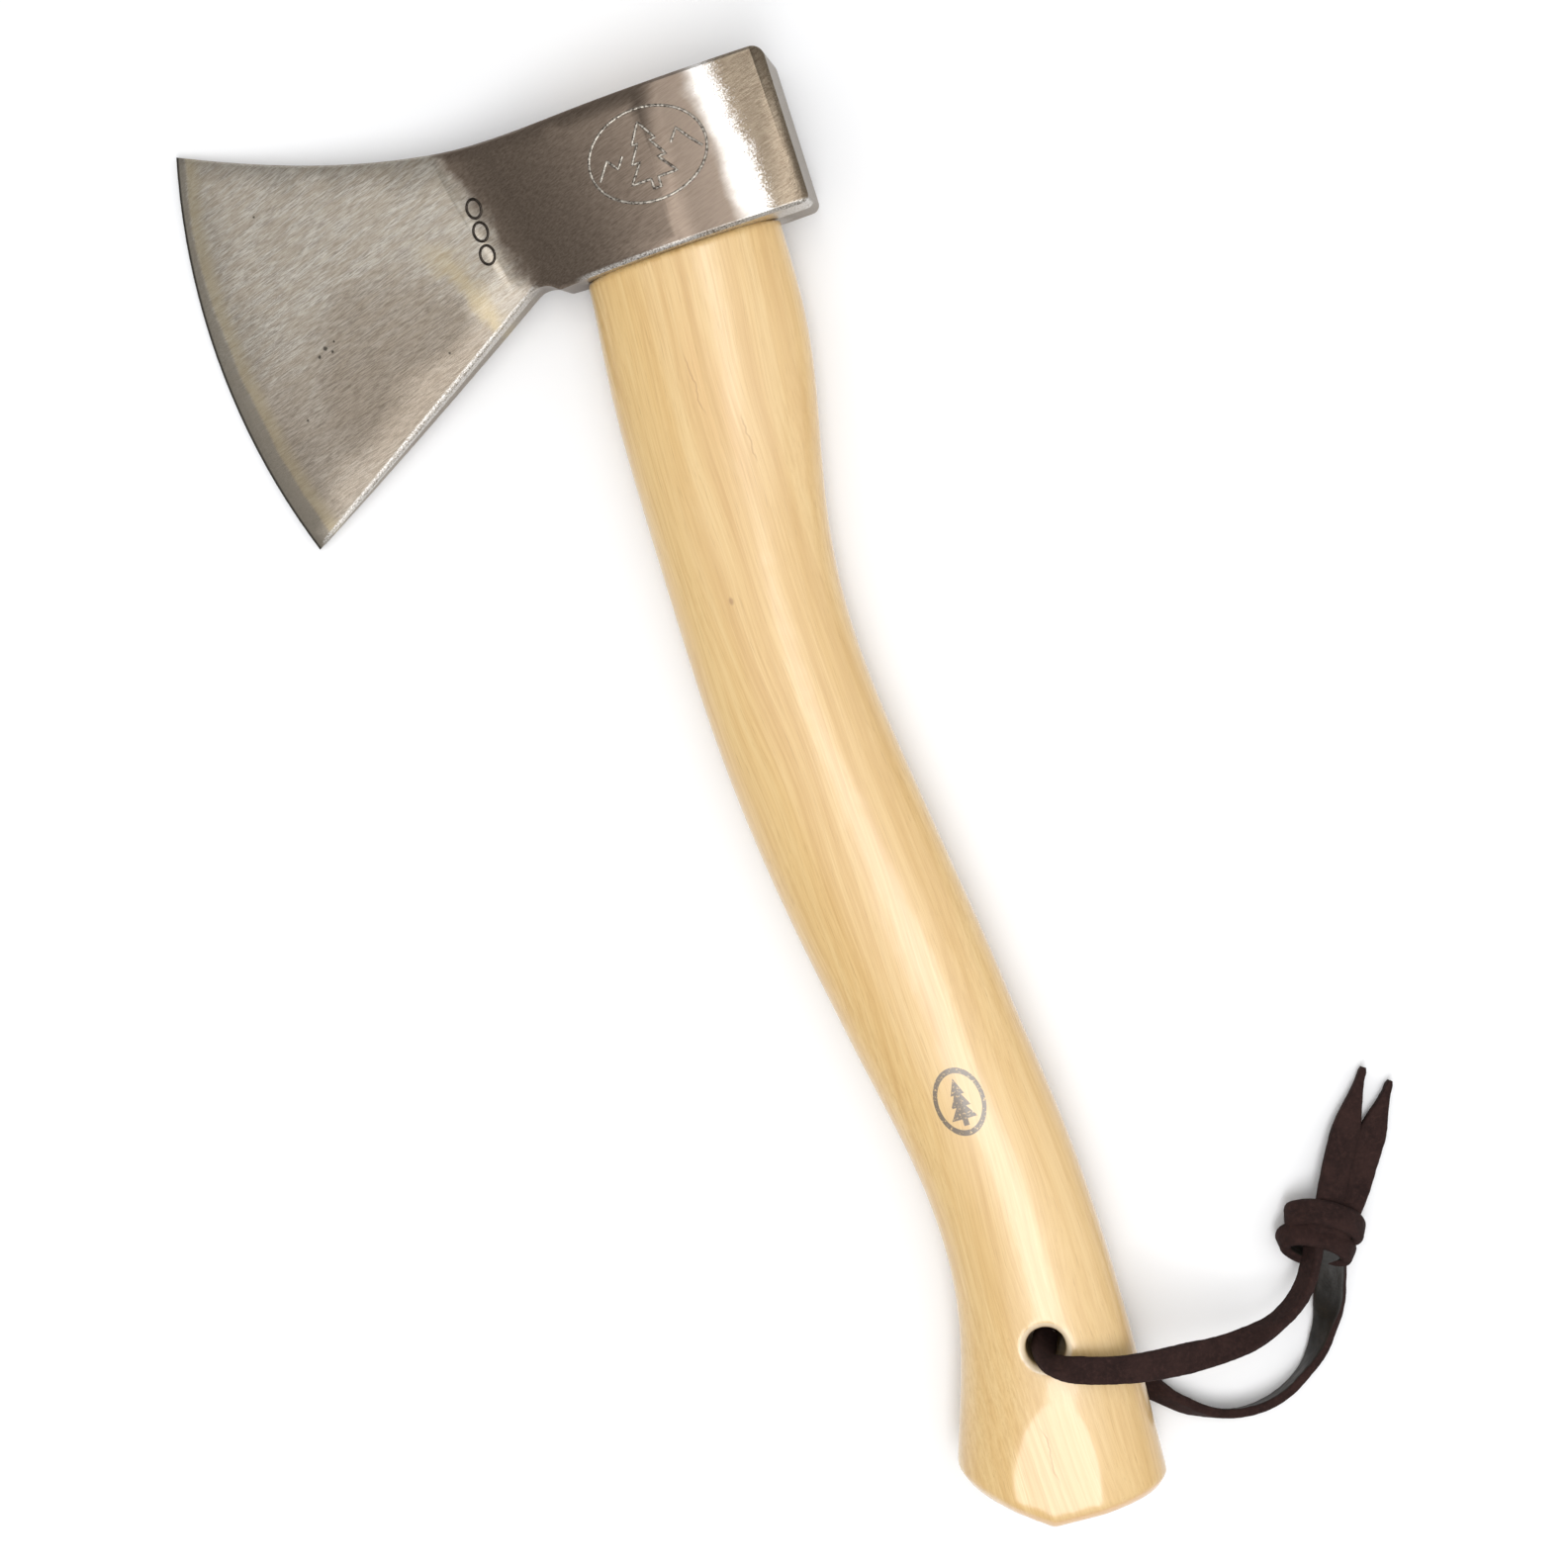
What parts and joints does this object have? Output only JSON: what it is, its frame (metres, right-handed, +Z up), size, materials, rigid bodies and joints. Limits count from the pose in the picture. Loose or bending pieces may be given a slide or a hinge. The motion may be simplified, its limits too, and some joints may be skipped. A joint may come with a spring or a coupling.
{
  "type": "hatchet",
  "caption": "One-hand hatchet: forged wedge-shaped steel head on a curved oval wooden handle with a flared knob and a knotted leather wrist thong.",
  "frame": {"origin": "on the surface the hatchet lies on, under the middle of the box around the head and handle", "axes": "+Y along the handle towards the head, +X towards the poll and away from the cutting edge, +Z up from the surface. The hatchet lies on its side at rest, so its middle plane is rolled 7.65 degrees about Y: the cutting edge is down, and the poll is raised."},
  "size_m": [0.2232, 0.3832, 0.0391],
  "materials": {
    "forged_steel": "satin, ground and brushed along a diagonal, clear oiled",
    "hickory": "pale hickory under clear gloss lacquer",
    "wedge_wood": "bare hardwood end grain",
    "wedge_steel": "hammered, dull",
    "thong_leather": "oiled dark brown, suede side and smooth grain side"
  },
  "bodies": {
    "root": {"axe_head": "forged_steel", "handle": "hickory", "kerf_wedge": "wedge_wood", "steel_wedge_front": "wedge_steel", "steel_wedge_rear": "wedge_steel", "thong_front_leg": "thong_leather", "thong_back_leg": "thong_leather", "thong_knot": "thong_leather", "thong_tail_long": "thong_leather", "thong_tail_short": "thong_leather"}
  },
  "joints": []
}
